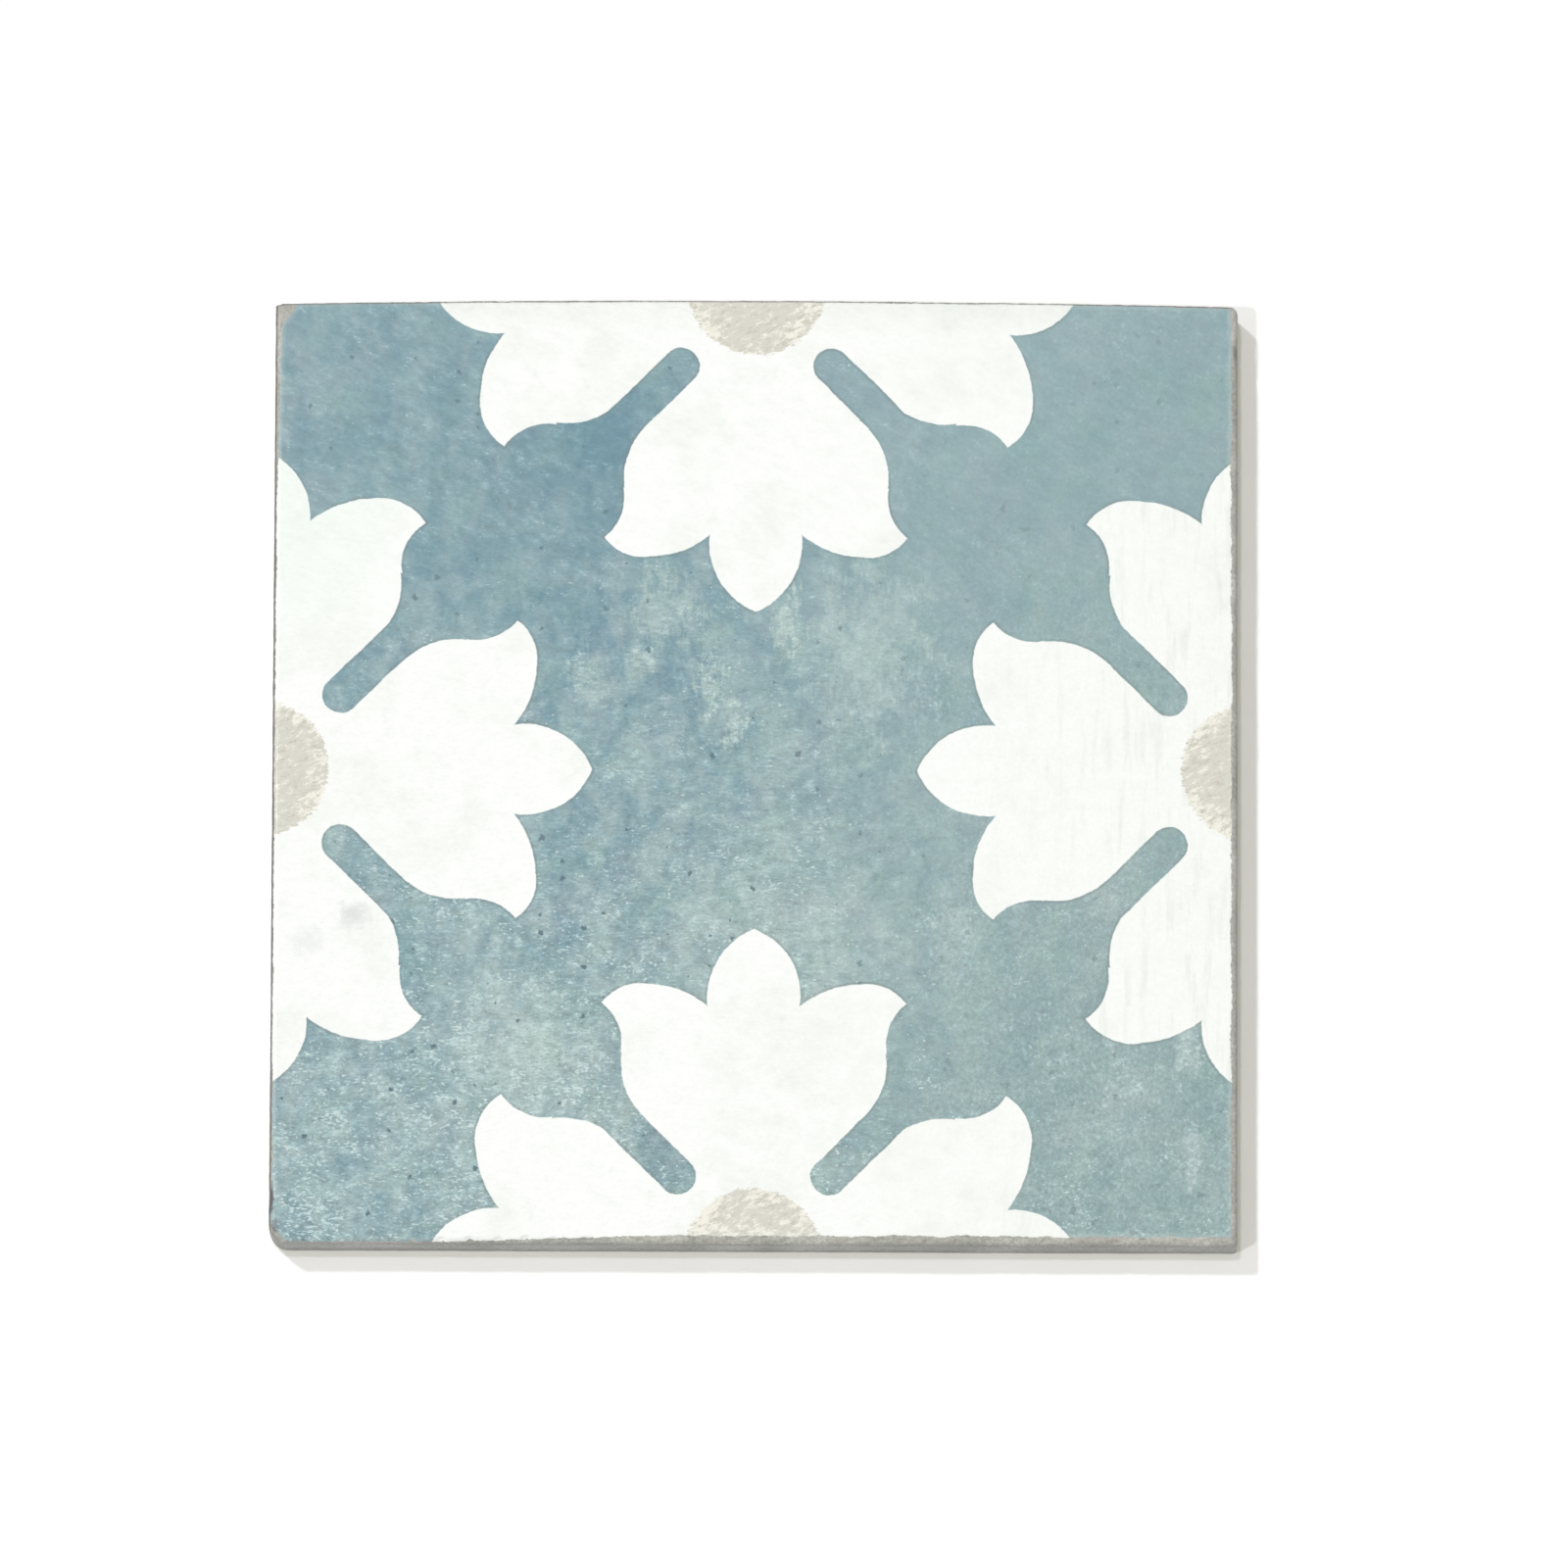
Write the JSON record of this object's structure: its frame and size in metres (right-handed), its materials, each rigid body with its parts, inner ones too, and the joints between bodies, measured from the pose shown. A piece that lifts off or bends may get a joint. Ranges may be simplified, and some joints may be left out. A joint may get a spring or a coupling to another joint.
{
  "type": "porcelain wall tile",
  "caption": "Square pressed porcelain wall tile with a glazed printed face, rounded arris, sloping foot and keyed back.",
  "frame": {"origin": "middle of the back plane, which the tile lies on", "axes": "+Z out of the printed face, +X to the right and +Y to the top of the ornament as it is pictured"},
  "size_m": [0.2, 0.2, 0.01],
  "materials": {
    "glazed_porcelain": "satin glaze on the face, bare pressed body on sides and back"
  },
  "bodies": {
    "root": {"porcelain_tile": "glazed_porcelain"}
  },
  "joints": []
}
